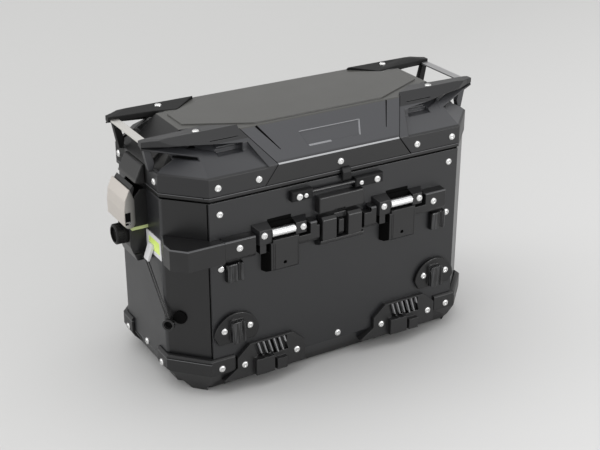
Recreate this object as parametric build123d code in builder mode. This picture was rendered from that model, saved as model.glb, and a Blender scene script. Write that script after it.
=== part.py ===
from build123d import *
import os
from math import atan2, cos, hypot, radians, sin, tan

# Aluminium motorcycle side case with a hinged plastic lid, in millimetres.
# The origin is on the floor under the middle of the case. +X runs along the case
# to its hinged end, -X to its latch end, and -Y is the side that hangs on the
# rack of the motorcycle. Corner pieces are drawn once, at +X -Y, and mirrored.

# ---------------------------------------------------------------- body sizes
body_length = 480.0
body_depth = 232.0
corner_cut_x = 45.5        # the four upright corners are cut off flat
corner_cut_y = 48.0
floor_height = 4.0         # underside of the floor sheet above the ground
bevel_drop = 30.5          # height of the bent edge round the floor
bevel_inset = 16.3         # how far that edge leans in
rim_height = 283.0         # top of the body
sheet = 2.0                # aluminium sheet
flange = 20.0              # end shells reach this far under the wrapped sheet
rim_wall = 4.0
rim_shelf = 10.0
rim_depth = 26.0

# ----------------------------------------------------------------- lid sizes
lid_gap = 1.6              # black joint line between body and lid
lid_overhang = 1.7
lid_crease = 318.0         # where the upright lid wall turns into the slope
lid_top = 357.5
lid_slope_run = 47.6
lid_top_cut = 8.0
lid_wall = 3.5
lip_height = 7.5           # plain lip under the corner covers
panel_raise = 1.5
emblem_depth = 1.0
rib_height = 3.0
rib_lift = 2.0
rib_reach = 12.0
seal_inset = 6.5
seal_width = 5.0
seal_clearance = 0.3
tongue_width = 14.0
tongue_drop = 7.0
tongue_depth = 6.0

# -------------------------------------------------------- corner cover sizes
cover_wall = 3.0
cover_crease = 316.0
cover_slope_reach = 44.7   # half width left between the cover slopes at the top
cover_top_cut = 11.5
seam_low_x = 114.0         # the seam beside each cover is a chevron
seam_crease_x = 94.5
seam_top_x = 126.0
arm_rise = 4.0             # the arm stands this far above the lid
arm_edge_y = 86.0
arm_tip_x = 257.0
arm_under = 352.0          # underside of the arm beyond the cover
arm_tip_drop = 2.5         # the arm is thinner at its tip
arm_rear_fall = 0.12       # and its top falls away from the ridge, per mm
brace_wall = 1.8
brace_rise = 0.25
cavity_height = 331.5      # the cover's corner facet stops here, below the arm
pocket_near_x = 129.0
pocket_far_x = 165.0
pocket_bottom = 332.5
pocket_back_y = 75.0
strut_near_y = 44.0
strut_width = 8.0
strut_wall = 8.0
strut_top_x = 253.0
handle_x = 249.0
handle_height = 354.5
handle_width = 12.0
handle_thickness = 3.0
handle_half_length = 54.0
handle_fit = 0.05

# --------------------------------------------------------------- guard sizes
guard_wall = 4.0
guard_corner_wall = 7.0
guard_top = 57.0
guard_front_start = 164.0
guard_end_start = 44.0

# ------------------------------------------------------ mounting side sizes
band_bottom = 202.0
band_top = 231.5
band_depth = 14.0
band_right_end = 167.0
band_seam_x = 180.0
band_centre_top = 225.0
band_centre_half = 43.0
wrap_front_x = 232.5
wrap_end_x = 249.5
roller_radius = 6.0
roller_length = 35.2
roller_height = 227.5
roller_stand_off = 9.6
roller_x = 93.0
roller_screw_half = 29.2
roller_gap = 0.4
axle_radius = 2.0
axle_fit = 0.1
axle_grip = 5.0            # length of axle held in each block
bracket_left = 42.0        # reach of the roller bracket either side of the roller
bracket_right = 40.0
bracket_low = 215.0        # left block
bracket_high = 241.0
bracket_right_low = 219.0
bracket_right_high = 239.0
bracket_front_high = 235.0 # the tops of both blocks slope down to the front
bracket_depth = 13.0
bracket_draft = 6.0        # and their far sides lean in
bracket_back = 3.0
column_width = 9.4
column_depth = 12.0
column_window = 42.0       # the band is open this far left of the roller's middle
flap_half_width = 21.8
flap_lean = 6.2
flap_bottom = 172.0
flap_top = 219.0
flap_depth = 16.0
catch_left = -38.0
catch_right = 31.5
catch_low = 238.5
catch_high = 261.5
catch_depth = 12.0
catch_notch_left = -15.5
catch_notch_right = 2.0
fork_top = 233.5
fork_bottom = 200.3
fork_back = 4.0
bridge_depth = 8.0
recess_left = -39.0
fork_front = 16.0
fork_spans = ((-35.5, -13.5), (5.0, 26.5))
sill_bottom = 192.0
slide_clearance = 0.3
rib_left = -9.0
rib_right = -1.0
rod_radius = 2.5
rod_height = 271.0
clamp_depth = 9.0
clamp_spans = ((-78.0, -46.0), (20.0, 64.0))
rod_socket = 7.0
pad_x = 161.5
pad_half_width = 12.5
pad_bottom = 168.0
pad_top = 196.0
pad_depth = 8.0
arch_x = 160.7
arch_half_width = 33.0
arch_bottom = 78.0
arch_top = 121.0
arch_depth = 5.0
arch_boss_depth = 12.0
hook_depth = 6.0
hook_block_depth = 13.0
hook_top = 68.5
hook_bottom = 20.0
hook_inner_x = 57.0
hook_outer_x = 161.5
hook_slots = 5
hook_slot_width = 6.6
hook_slot_pitch = 10.2
hook_slot_height = 21.0
hook_slot_lean = 18.0
hook_flare = 20.0          # the foot of each hook runs out to the left

# ---------------------------------------------------------------- latch end
latch_half_width = 28.0
latch_base_bottom = 231.0
latch_base_top = 282.0
latch_base_wall = 2.0
lever_pivot_x = 266.0
lever_pivot_height = 239.0
pivot_radius = 2.0
pivot_fit = 0.1
lever_end_radius = 8.0
base_end_radius = 3.3
lever_wall = 1.8
lever_gap = 0.5
lever_plate = 1.6
knob_radius = 13.5
knob_flare = 14.5          # its skirt next to the housing
knob_height = 214.5
knob_reach = 279.0
barrel_radius = 8.0
barrel_fit = 0.1
lock_face_x = 264.0
lock_bottom = 180.0
lock_top = 226.5
plate_raise = 1.0
cable_radius = 0.9
cable_spacing = 3.4
cable_top_y = -37.0
tab_low = 186.0            # end fitting of the cable
tab_high = 208.0
tab_width = 13.5
tab_reach = 7.0
tab_thickness = 2.4
stud_x = 233.8             # on the cut corner
stud_height = 108.0
stud_radius = 4.0
stud_head_radius = 8.5
stud_neck = 11.0
stud_head = 4.0

# ---------------------------------------------------------------- hinge end
hinge_x = 250.0
hinge_height = 284.0
hinge_radius = 5.0
hinge_pin_radius = 2.0
hinge_fit = 0.1
hinge_half_width = 42.0
hinge_knuckle_half = 16.0
hinge_gap = 0.4
hinge_leaf = 3.0

# ----------------------------------------------------------------- fasteners
head_radius = 5.0
head_height = 2.4
head_top_radius = 3.4
small_head_radius = 3.4

half_length = body_length / 2
half_depth = body_depth / 2
panel_half_length = half_length - corner_cut_x
bevel_top = floor_height + bevel_drop
bevel_lean = atan2(bevel_inset, bevel_drop)
lid_bottom = rim_height + lid_gap
lid_half_length = half_length + lid_overhang
lid_half_depth = half_depth + lid_overhang
lip_top = lid_bottom + lip_height
slope_angle = atan2(lid_top - lid_crease, lid_slope_run)
arm_top = lid_top + arm_rise
arm_ridge_y = lid_half_depth - (arm_top - lid_crease) / tan(slope_angle)
arm_edge_height = lid_crease + (lid_half_depth - arm_edge_y) * tan(slope_angle)
far = 400.0                # longer than any piece, for cutting blocks

os.makedirs("parts", exist_ok=True)


def save(piece, name):
    piece.label = name
    export_step(piece, f"parts/{name}.step")


def corners_of(piece):
    """The piece at +X -Y and its three mirror images, by corner name."""
    left = mirror(piece, about=Plane.YZ)
    return {
        "front_right": piece,
        "front_left": left,
        "back_right": mirror(piece, about=Plane.XZ),
        "back_left": mirror(left, about=Plane.XZ),
    }


def front_face(x, z, stand_off=0.0):
    """Plane on the mounting side, facing out."""
    return Plane(origin=(x, -half_depth - stand_off, z), x_dir=(1, 0, 0), z_dir=(0, -1, 0))


def back_face(x, z, stand_off=0.0):
    return Plane(origin=(x, half_depth + stand_off, z), x_dir=(-1, 0, 0), z_dir=(0, 1, 0))


def end_face(side, y, z, stand_off=0.0):
    """Plane on the left (side -1) or right (side +1) end, facing out."""
    return Plane(
        origin=(side * (half_length + stand_off), y, z), x_dir=(0, side, 0), z_dir=(side, 0, 0)
    )


def octagon(half_x, half_y, cut_x, cut_y):
    """Rectangle with its corners cut off, added to the open sketch."""
    quarter = [(half_x, half_y - cut_y), (half_x - cut_x, half_y)]
    left = [(-x, y) for x, y in reversed(quarter)]
    lower = [(-x, -y) for x, y in quarter + left]
    Polygon(*quarter, *left, *lower, align=None)


def inset_outline(amount):
    """Moves the outline of the open sketch in by amount, or out if negative."""
    if amount:
        offset(amount=-amount, kind=Kind.INTERSECTION)


def case_octagon(inset):
    octagon(half_length, half_depth - sheet, corner_cut_x, corner_cut_y - sheet)
    inset_outline(inset)


def lid_octagon(inset):
    octagon(lid_half_length, lid_half_depth, corner_cut_x + lid_overhang, corner_cut_y + lid_overhang)
    inset_outline(inset)


def case_form(inset, gap):
    """Closed form of the end shells, its walls set in by inset and its floor up by gap."""
    low = floor_height + gap
    start = bevel_top + gap * tan(bevel_lean / 2)
    with BuildPart() as form:
        with BuildSketch(Plane.XY.offset(start)):
            case_octagon(inset)
        extrude(amount=rim_height - start)
        with BuildSketch(Plane.XY.offset(start)):
            case_octagon(inset)
        with BuildSketch(Plane.XY.offset(low)):
            case_octagon(inset + (start - low) * tan(bevel_lean))
        loft()
    return form.part


def panel_outline(top):
    """Outside of the wrapped sheet, seen along the case, in the open sketch."""
    floor_half = half_depth - bevel_inset
    Polygon(
        (-half_depth, top),
        (-half_depth, bevel_top),
        (-floor_half, floor_height),
        (floor_half, floor_height),
        (half_depth, bevel_top),
        (half_depth, top),
        align=None,
    )


def body_form():
    """Everything inside the outer faces of the body."""
    with BuildPart() as form:
        add(case_form(0, sheet))
        with BuildSketch(Plane.YZ):
            panel_outline(rim_height)
        extrude(amount=panel_half_length, both=True)
    return form.part


def lid_form(inset):
    """Closed form of the middle of the lid, set in from its outer face."""
    crease = lid_crease - inset * tan((radians(90) - slope_angle) / 2)
    with BuildPart() as form:
        with BuildSketch(Plane.XY.offset(lid_bottom)):
            lid_octagon(inset)
        extrude(amount=crease - lid_bottom)
        with BuildSketch(Plane.XY.offset(crease)):
            lid_octagon(inset)
        with BuildSketch(Plane.XY.offset(lid_top - inset)):
            octagon(
                lid_half_length - lid_slope_run,
                lid_half_depth - lid_slope_run,
                lid_top_cut,
                lid_top_cut * (corner_cut_y + lid_overhang) / (corner_cut_x + lid_overhang),
            )
            inset_outline(inset * tan(slope_angle / 2))
        loft()
    return form.part


def cover_form(inset):
    """Closed form of the lid corners, whose slopes are flatter than the middle's."""
    crease = cover_crease - inset / 3
    with BuildPart() as form:
        with BuildSketch(Plane.XY.offset(lid_bottom)):
            lid_octagon(inset)
        extrude(amount=crease - lid_bottom)
        with BuildSketch(Plane.XY.offset(crease)):
            lid_octagon(inset)
        with BuildSketch(Plane.XY.offset(lid_top)):
            octagon(
                lid_half_length - lid_slope_run,
                cover_slope_reach,
                cover_top_cut,
                cover_top_cut * (corner_cut_y + lid_overhang) / (corner_cut_x + lid_overhang),
            )
            inset_outline(1.8 * inset)
        loft()
    return form.part


def button_heads(planes, radius=head_radius):
    """Separate button-head fasteners, one on each plane."""
    with BuildPart() as head:
        Cone(
            radius,
            radius * head_top_radius / head_radius,
            head_height,
            align=(Align.CENTER, Align.CENTER, Align.MIN),
        )
    with BuildPart() as group:
        with Locations(*planes):
            add(head.part)
    return group.part


# ============================================================== fastener places
body_rivet_planes = [
    face(x, z)
    for face in (front_face, back_face)
    for x, z in ((-179.4, 265.7), (179.4, 265.7), (0, 42.8))
] + [front_face(x, 188.5) for x in (-179.4, 179.4)]
end_rivet_planes = [end_face(side, 0, 41.2) for side in (-1, 1)]
lid_side_planes = [
    face(x, 303.2, lid_overhang)
    for face in (front_face, back_face)
    for x in (-181.5, -123, 0, 123, 181.5)
]
lid_end_planes = [end_face(side, y, 303.2, lid_overhang) for side in (-1, 1) for y in (-57, 57)]
arm_screw_x = 181.3
arm_screw_y = 57.8
seat_radius = head_radius + 1
arm_seat = arm_top - arm_rear_fall * (arm_ridge_y - arm_screw_y + seat_radius) - 0.1
arm_screw_planes = [
    Plane(origin=(x, y, arm_seat))
    for x in (-arm_screw_x, arm_screw_x)
    for y in (-arm_screw_y, arm_screw_y)
]
guard_screw_planes = [
    face(x, 41.8, guard_wall) for face in (front_face, back_face) for x in (-184.2, 184.2)
] + [end_face(side, y, 38.0, guard_wall) for side in (-1, 1) for y in (-57.0, 57.0)]
hook_screw_planes = [front_face(x, 39.5, hook_depth) for x in (-150.8, -69.9, 69.9, 150.8)]
arch_screw_planes = [
    front_face(side * arch_x + half, 98.0, arch_depth) for side in (-1, 1) for half in (-19.0, 19.0)
]
band_screw_planes = [
    front_face(x, z, band_depth) for x, z in ((-159.0, 219.5), (146.0, 218.0))
]
roller_screw_planes = [
    front_face(side * roller_x + half, roller_height, bracket_depth)
    for side in (-1, 1)
    for half in (-roller_screw_half, roller_screw_half)
]
clamp_screw_planes = [front_face(x, rod_height - 2, clamp_depth) for x in (-67.0, 54.0)]
clamp_pin_planes = [front_face(x, rod_height - 2, clamp_depth) for x in (-57.0, 29.0)]

# =================================================================== body shell
# One sheet bent round both long sides and the floor.
with BuildPart() as main_sheet:
    with BuildSketch(Plane.YZ):
        panel_outline(rim_height + sheet)
        offset(amount=-sheet, kind=Kind.INTERSECTION, mode=Mode.SUBTRACT)
        with Locations((0, rim_height + sheet)):
            Rectangle(body_depth + sheet, 2 * sheet, mode=Mode.SUBTRACT)
    extrude(amount=panel_half_length, both=True)
save(main_sheet.part, "main_sheet")

# Folded end shells: end panel, corner panels and flanges under the main sheet.
with BuildPart() as right_end_shell:
    add(case_form(0, sheet))
    add(case_form(sheet, 2 * sheet), mode=Mode.SUBTRACT)
    split(bisect_by=Plane.YZ.offset(panel_half_length - flange), keep=Keep.TOP)
save(right_end_shell.part, "right_end_shell")
save(mirror(right_end_shell.part, about=Plane.YZ), "left_end_shell")

# Moulded frame inside the top edge, with the shelf that the lid seal rests on.
with BuildPart() as body_rim:
    for depth, inner in ((rim_depth, rim_wall), (rim_wall, rim_shelf)):
        with BuildSketch(Plane.XY.offset(rim_height - depth)):
            case_octagon(sheet)
            Rectangle(2 * (panel_half_length - flange), body_depth - 2 * sheet)
        extrude(amount=depth)
    with BuildSketch(Plane.XY.offset(rim_height - rim_depth)):
        case_octagon(sheet + rim_wall)
    extrude(amount=rim_depth - rim_wall, mode=Mode.SUBTRACT)
    with BuildSketch(Plane.XY.offset(rim_height - rim_wall)):
        case_octagon(sheet + rim_shelf)
    extrude(amount=rim_wall, mode=Mode.SUBTRACT)
save(body_rim.part, "body_rim")

save(button_heads(body_rivet_planes + end_rivet_planes), "body_rivets")

# ================================================================ corner guards
# Moulded feet that wrap the bottom corners and stand the case off the ground.
corner_run = hypot(corner_cut_x, corner_cut_y)
corner_reach = (
    corner_cut_y * panel_half_length + corner_cut_x * half_depth
) / corner_run + guard_corner_wall


def guard_octagon(inset):
    """Guard outline: thicker over the cut corners than on the long sides and ends."""
    side = half_depth + guard_wall
    end = half_length + guard_wall
    corner_x = (corner_reach * corner_run - corner_cut_x * side) / corner_cut_y
    corner_y = (corner_reach * corner_run - corner_cut_y * end) / corner_cut_x
    octagon(end, side, end - corner_x, side - corner_y)
    inset_outline(inset)


guard_start = bevel_top - guard_wall * tan(bevel_lean / 2)
with BuildPart() as guard:
    with BuildSketch(Plane.XY.offset(guard_start)):
        guard_octagon(0)
    extrude(amount=guard_top - guard_start)
    with BuildSketch(Plane.XY.offset(guard_start)):
        guard_octagon(0)
    with BuildSketch(Plane.XY):
        guard_octagon(guard_start * tan(bevel_lean))
    loft()
    chamfer(guard.edges().group_by(Axis.Z)[-1], length=guard_wall * 0.6)
    with BuildSketch(Plane.XY):
        with Locations(((guard_front_start + far / 2), -(guard_end_start + far / 2))):
            Rectangle(far, far)
    extrude(amount=guard_top, mode=Mode.INTERSECT)
    add(body_form(), mode=Mode.SUBTRACT)
guards = corners_of(guard.part)
with BuildPart() as front_left_guard:
    add(guards["front_left"])
    # clear of the left hook's foot
    with BuildSketch(Plane.XZ.offset(half_depth - 2 * bevel_inset)):
        Polygon(
            (-hook_outer_x, hook_bottom + 16.5),
            (-hook_outer_x - hook_flare - 2, hook_bottom + 2.5),
            (-hook_outer_x - hook_flare - 2, 0),
            (-hook_outer_x, 0),
            align=None,
        )
    extrude(amount=far, mode=Mode.SUBTRACT)
guards["front_left"] = front_left_guard.part
for corner, piece in guards.items():
    save(piece, f"{corner}_guard")
save(button_heads(guard_screw_planes), "guard_screws")

# ========================================================== mounting side: band
wrap_outline = [
    (-band_seam_x, -half_depth - band_depth),
    (-wrap_front_x, -half_depth - band_depth),
    (-wrap_end_x, -112.0),
    (-wrap_end_x, -93.0),
    (-half_length, -67.0),
    (-band_seam_x, -60.0),
]
with BuildPart() as band_wrap:
    with BuildSketch(Plane.XY.offset(band_bottom)):
        Polygon(*wrap_outline, align=None)
    extrude(amount=band_top - band_bottom)
    chamfer(band_wrap.edges().group_by(Axis.Z)[-1], length=1.5)
    add(body_form(), mode=Mode.SUBTRACT)
save(band_wrap.part, "band_wrap")

with BuildPart() as mount_band:
    with BuildSketch(Plane.YZ.offset(-band_seam_x)):
        with BuildLine():
            Polyline(
                (-half_depth, band_bottom),
                (-half_depth - band_depth + 3, band_bottom),
                (-half_depth - band_depth, band_bottom + 5),
                (-half_depth - band_depth, band_top - 1.5),
                (-half_depth - band_depth + 1.5, band_top),
                (-half_depth, band_top + 1),
                close=True,
            )
        make_face()
    extrude(amount=band_seam_x + band_right_end)
    # the top is lower over the middle, between the rollers
    with BuildSketch(front_face(0, band_top)):
        Rectangle(2 * band_centre_half, 2 * (band_top - band_centre_top))
    extrude(amount=far / 2, both=True, mode=Mode.SUBTRACT)
    # windows for the roller brackets, the columns under them and the flaps
    with BuildSketch(front_face(0, 0)):
        for centre in (-roller_x, roller_x):
            with Locations((centre + (bracket_right - bracket_left) / 2, bracket_low + far / 2)):
                Rectangle(bracket_left + bracket_right, far)
            with Locations((centre - column_window / 2, (flap_bottom + flap_top) / 2)):
                Rectangle(column_window, flap_top - flap_bottom)
            with Locations((centre, (flap_bottom + flap_top) / 2)):
                Rectangle(2 * flap_half_width, flap_top - flap_bottom)
    extrude(amount=far / 2, both=True, mode=Mode.SUBTRACT)
    # recess that the sliding catch runs in
    with BuildSketch(front_face(0, 0, fork_back - slide_clearance)):
        for left, right in ((recess_left, rib_left), (rib_right, catch_right)):
            with Locations(((left + right) / 2, band_top)):
                Rectangle(right - left, 2 * (band_top - band_bottom) + 2)
    extrude(amount=far / 2, mode=Mode.SUBTRACT)
save(mount_band.part, "mount_band")

# ===================================================== mounting side: rollers
# Each steel roller turns on its axle between two screwed blocks; the rack's
# spring-loaded dogs bear on it. A flap of the band's plastic covers the works below.
roller_y = -half_depth - roller_stand_off
ear_inner = roller_length / 2 + roller_gap
column_x = roller_screw_half + 1.5
for side, name in ((-1, "left"), (1, "right")):
    centre = side * roller_x
    roller_axis = Plane(origin=(centre, roller_y, roller_height), z_dir=(1, 0, 0))
    with BuildPart() as bracket:
        for left, right, low, high in (
            (-bracket_left, -ear_inner, bracket_low, bracket_high),
            (ear_inner, bracket_right, bracket_right_low, bracket_right_high),
        ):
            with BuildSketch(Plane.YZ.offset(centre + left)):
                Polygon(
                    (-half_depth, low),
                    (-half_depth - bracket_depth, low),
                    (-half_depth - bracket_depth, bracket_front_high),
                    (-half_depth, high),
                    align=None,
                )
            extrude(amount=right - left)
        with BuildSketch(Plane.XY.offset(bracket_low)):
            Polygon(
                (centre - bracket_left, -half_depth),
                (centre - bracket_left + bracket_draft, -half_depth - bracket_depth),
                (centre + bracket_right - bracket_draft, -half_depth - bracket_depth),
                (centre + bracket_right, -half_depth),
                align=None,
            )
        extrude(amount=bracket_high - bracket_low, mode=Mode.INTERSECT)
        with BuildSketch(front_face(centre, (bracket_right_low + bracket_right_high) / 2)):
            Rectangle(2 * ear_inner, bracket_right_high - bracket_right_low)
        extrude(amount=bracket_back)
        # post under the left block
        with BuildSketch(front_face(centre - column_x, (band_bottom + bracket_low) / 2)):
            Rectangle(column_width, bracket_low - band_bottom)
        extrude(amount=column_depth)
        with Locations(roller_axis):
            Cylinder(axle_radius, 2 * (ear_inner + axle_grip), mode=Mode.SUBTRACT)
    save(bracket.part, f"{name}_roller_bracket")

    with BuildPart(roller_axis) as roller:
        Cylinder(roller_radius, roller_length)
        chamfer(roller.edges(), length=0.8)
        Cylinder(axle_radius + axle_fit, roller_length, mode=Mode.SUBTRACT)
    save(roller.part, f"{name}_roller")

    with BuildPart(roller_axis) as axle:
        Cylinder(axle_radius, 2 * (ear_inner + axle_grip))
    save(axle.part, f"{name}_roller_axle")

    with BuildPart() as flap:
        for low, high, left, lean in (
            (flap_bottom, band_bottom, flap_half_width, flap_lean),
            (band_bottom, bracket_low, flap_half_width, 0),
            (bracket_low, flap_top, ear_inner, 0),
        ):
            with BuildSketch(Plane.XY.offset(low)):
                Polygon(
                    (centre - left - lean, -half_depth),
                    (centre - left, -half_depth - flap_depth + 1),
                    (centre - left + 1, -half_depth - flap_depth),
                    (centre + flap_half_width - 1, -half_depth - flap_depth),
                    (centre + flap_half_width, -half_depth - flap_depth + 1),
                    (centre + flap_half_width, -half_depth),
                    align=None,
                )
            extrude(amount=high - low)
        chamfer(flap.faces().sort_by(Axis.Z)[0].edges().sort_by(Axis.Y)[0], length=8.0, length2=4.0)
        # room for the roller above it
        with BuildSketch(Plane.YZ.offset(centre)):
            with Locations((roller_y, roller_height)):
                Circle(roller_radius + 2 * roller_gap)
        extrude(amount=flap_half_width + flap_lean, both=True, mode=Mode.SUBTRACT)
        with Locations(front_face(centre, flap_bottom + 12, flap_depth)):
            Hole(2.5, depth=6)
    save(flap.part, f"{name}_flap")
save(button_heads(roller_screw_planes), "roller_screws")

# ================================================ mounting side: centre catch
# Block over the catch, the sliding fork that locks the case to its rack, the
# sill that it drops onto, and the clamped rod above them.
with BuildPart() as catch_block:
    with BuildSketch(front_face((catch_left + catch_right) / 2, (catch_low + catch_high) / 2)):
        Rectangle(catch_right - catch_left, catch_high - catch_low)
    extrude(amount=catch_depth)
    chamfer(catch_block.faces().sort_by(Axis.Y)[0].edges(), length=1.2)
    with BuildSketch(front_face((catch_notch_left + catch_notch_right) / 2, catch_low)):
        Rectangle(catch_notch_right - catch_notch_left, 5)
    extrude(amount=catch_depth, mode=Mode.SUBTRACT)
save(catch_block.part, "catch_block")

with BuildPart() as catch_fork:
    for left, right in fork_spans:
        with BuildSketch(Plane.YZ.offset(left)):
            with BuildLine():
                Polyline(
                    (-half_depth - fork_back, fork_bottom),
                    (-half_depth - fork_front, fork_bottom),
                    (-half_depth - fork_front, fork_top - 4),
                    (-half_depth - fork_front + 4, fork_top),
                    (-half_depth - fork_back, fork_top),
                    close=True,
                )
            make_face()
        extrude(amount=right - left)
    bridge_low = band_centre_top + slide_clearance
    fork_middle = (fork_spans[0][0] + fork_spans[1][1]) / 2
    with BuildSketch(front_face(fork_middle, (bridge_low + fork_top) / 2, slide_clearance)):
        Rectangle(fork_spans[1][1] - fork_spans[0][0], fork_top - bridge_low)
    extrude(amount=bridge_depth - slide_clearance)
save(catch_fork.part, "catch_fork")

with BuildPart() as catch_sill:
    with BuildSketch(Plane.YZ.offset(catch_left)):
        with BuildLine():
            Polyline(
                (-half_depth, sill_bottom - 3),
                (-half_depth - 9, sill_bottom),
                (-half_depth - fork_front + 1, sill_bottom + 4),
                (-half_depth - fork_front + 1, fork_bottom - slide_clearance),
                (-half_depth, fork_bottom - slide_clearance),
                close=True,
            )
        make_face()
    extrude(amount=catch_right - catch_left)
save(catch_sill.part, "catch_sill")

rod_start = clamp_spans[0][1] - rod_socket
rod_length = clamp_spans[1][0] + rod_socket - rod_start
rod_plane = Plane(origin=(rod_start, -half_depth - clamp_depth / 2, rod_height), z_dir=(1, 0, 0))
with BuildPart() as rod_clamps:
    for left, right in clamp_spans:
        with Locations(front_face((left + right) / 2, rod_height - 1)):
            Box(right - left, 14.0, clamp_depth, align=(Align.CENTER, Align.CENTER, Align.MIN))
    chamfer(rod_clamps.faces().group_by(Axis.Y)[0].edges(), length=1.5)
    with BuildSketch(rod_plane):
        Circle(rod_radius)
    extrude(amount=rod_length, mode=Mode.SUBTRACT)
save(rod_clamps.part, "rod_clamps")

with BuildPart() as catch_rod:
    with BuildSketch(rod_plane):
        Circle(rod_radius)
    extrude(amount=rod_length)
save(catch_rod.part, "catch_rod")
save(button_heads(clamp_pin_planes, small_head_radius), "clamp_pins")

# ============================================= mounting side: pads and supports
for side, name in ((-1, "left"), (1, "right")):
    with BuildPart() as pad:
        with BuildSketch(front_face(side * pad_x, (pad_bottom + pad_top) / 2)):
            Rectangle(2 * pad_half_width, pad_top - pad_bottom)
        extrude(amount=pad_depth, taper=8)
    save(pad.part, f"{name}_pad")

    with BuildPart() as arch:
        with BuildSketch(front_face(side * arch_x, 0)):
            with BuildLine():
                base = Line((-arch_half_width, arch_bottom + 12), (-arch_half_width + 6, arch_bottom))
                foot = Line(base @ 1, (arch_half_width - 6, arch_bottom))
                rise = Line(foot @ 1, (arch_half_width, arch_bottom + 12))
                ThreePointArc(rise @ 1, (0, arch_top), base @ 0)
            make_face()
        extrude(amount=arch_depth)
        with BuildSketch(front_face(side * arch_x, (arch_bottom + 111.0) / 2, arch_depth)):
            RectangleRounded(21.0, 111.0 - arch_bottom, 4.0)
        extrude(amount=arch_boss_depth - arch_depth, taper=6)
    save(arch.part, f"{name}_rack_support")

# ======================================================= mounting side: hooks
# Moulded hooks low on the panel; the leaning slots lighten a thick moulding.
slot_lean = hook_slot_height * tan(radians(hook_slot_lean)) / 2
slot_outline = (
    (-slot_lean - hook_slot_width / 2, hook_slot_height / 2),
    (-slot_lean + hook_slot_width / 2, hook_slot_height / 2),
    (slot_lean + hook_slot_width / 2, -hook_slot_height / 2),
    (slot_lean - hook_slot_width / 2, -hook_slot_height / 2),
)
for side, name in ((-1, "left"), (1, "right")):
    middle = side * (hook_inner_x + hook_outer_x) / 2
    half = (hook_outer_x - hook_inner_x) / 2
    with BuildPart() as hook:
        with BuildSketch(Plane.XZ):
            Polygon(
                (middle - half - hook_flare, hook_bottom),
                (middle - half - hook_flare, hook_bottom + 3),
                (middle - half, hook_bottom + 16),
                (middle - half, hook_top - 17),
                (middle - half + 19, hook_top),
                (middle + half - 19, hook_top),
                (middle + half, hook_top - 17),
                (middle + half, hook_bottom),
                align=None,
            )
        extrude(amount=half_depth + hook_depth)
        with BuildSketch(Plane.XZ.offset(half_depth)):
            with Locations((middle - 13, 33)):
                Rectangle(30, 26)
            with Locations((middle + 13, 29)):
                Rectangle(17, 18)
        extrude(amount=hook_block_depth, taper=4)
        with BuildSketch(Plane.XZ.offset(half_depth)):
            with Locations((middle - 13, 33)):
                Rectangle(30, 26)
            with Locations((middle + 13, 29)):
                Rectangle(17, 18)
        extrude(amount=-bevel_inset - hook_depth)
        with BuildSketch(Plane.XZ.offset(half_depth + 0.8)):
            for step in range(hook_slots):
                slot_x = middle - 1 + (step - (hook_slots - 1) / 2) * hook_slot_pitch
                with Locations((slot_x, hook_top - 3 - hook_slot_height / 2)):
                    Polygon(*slot_outline, align=None)
        extrude(amount=hook_block_depth, mode=Mode.SUBTRACT)
        add(body_form(), mode=Mode.SUBTRACT)
    save(hook.part, f"{name}_hook")
save(
    button_heads(band_screw_planes + clamp_screw_planes + arch_screw_planes + hook_screw_planes),
    "fitting_screws",
)

# ================================================================ latch end
# Folded stainless base on the end panel, and the lever that pivots near its foot.
latch_face = -half_length
pivot = Plane(origin=(-lever_pivot_x, 0, lever_pivot_height), z_dir=(0, 1, 0))
cheek_y = latch_half_width - lever_wall - lever_gap
with BuildPart() as latch_base:
    with BuildSketch(Plane.XZ):
        Polygon(
            (latch_face, latch_base_bottom),
            (latch_face - 20, latch_base_bottom),
            (-lever_pivot_x, lever_pivot_height - base_end_radius),
            (-lever_pivot_x, lever_pivot_height + base_end_radius),
            (latch_face - 18, latch_base_top - 10),
            (latch_face - 8, latch_base_top),
            (latch_face, latch_base_top),
            align=None,
        )
        with Locations((-lever_pivot_x, lever_pivot_height)):
            Circle(base_end_radius)
    extrude(amount=cheek_y, both=True)
    with BuildSketch(Plane.XZ):
        with Locations((latch_face - latch_base_wall - far / 2, (latch_base_bottom + latch_base_top) / 2)):
            Rectangle(far, latch_base_top - latch_base_bottom)
    extrude(amount=cheek_y - latch_base_wall, both=True, mode=Mode.SUBTRACT)
    with Locations(pivot):
        Cylinder(pivot_radius, 2 * latch_half_width + 4, mode=Mode.SUBTRACT)
save(latch_base.part, "latch_base")

with BuildPart() as latch_pin:
    with Locations(pivot):
        Cylinder(pivot_radius, 2 * latch_half_width)
save(latch_pin.part, "latch_pin")

lever_face = [
    (-lever_pivot_x - lever_end_radius, lever_pivot_height - 3.5),
    (-lever_pivot_x - lever_end_radius, 256.0),
    (-272.0, 271.0),
    (-265.5, 285.5),
]
with BuildPart() as latch_lever:
    with BuildSketch(Plane.XZ):
        Polygon(
            *[(x + lever_plate, z) for x, z in lever_face],
            (-263.5, 284.6),
            (-258.0, 270.0),
            (-lever_pivot_x + lever_end_radius, lever_pivot_height),
            align=None,
        )
        with Locations((-lever_pivot_x, lever_pivot_height)):
            Circle(lever_end_radius)
        Polygon(
            (-far, 0),
            (-lever_pivot_x - lever_end_radius + lever_plate, 0),
            (-lever_pivot_x - lever_end_radius + lever_plate, 256.0),
            (-far, 256.0),
            align=None,
            mode=Mode.SUBTRACT,
        )
    extrude(amount=latch_half_width, both=True)
    with BuildSketch(Plane.XZ):
        Polygon(
            *[(x + lever_plate + lever_wall, z) for x, z in lever_face],
            (latch_face, 300.0),
            (latch_face, 220.0),
            (-far, 220.0),
            (-far, lever_pivot_height - 3.5),
            align=None,
        )
    extrude(amount=latch_half_width - lever_wall, both=True, mode=Mode.SUBTRACT)
    with Locations(pivot):
        Cylinder(pivot_radius + pivot_fit, far / 2, mode=Mode.SUBTRACT)
save(latch_lever.part, "latch_lever")

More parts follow.
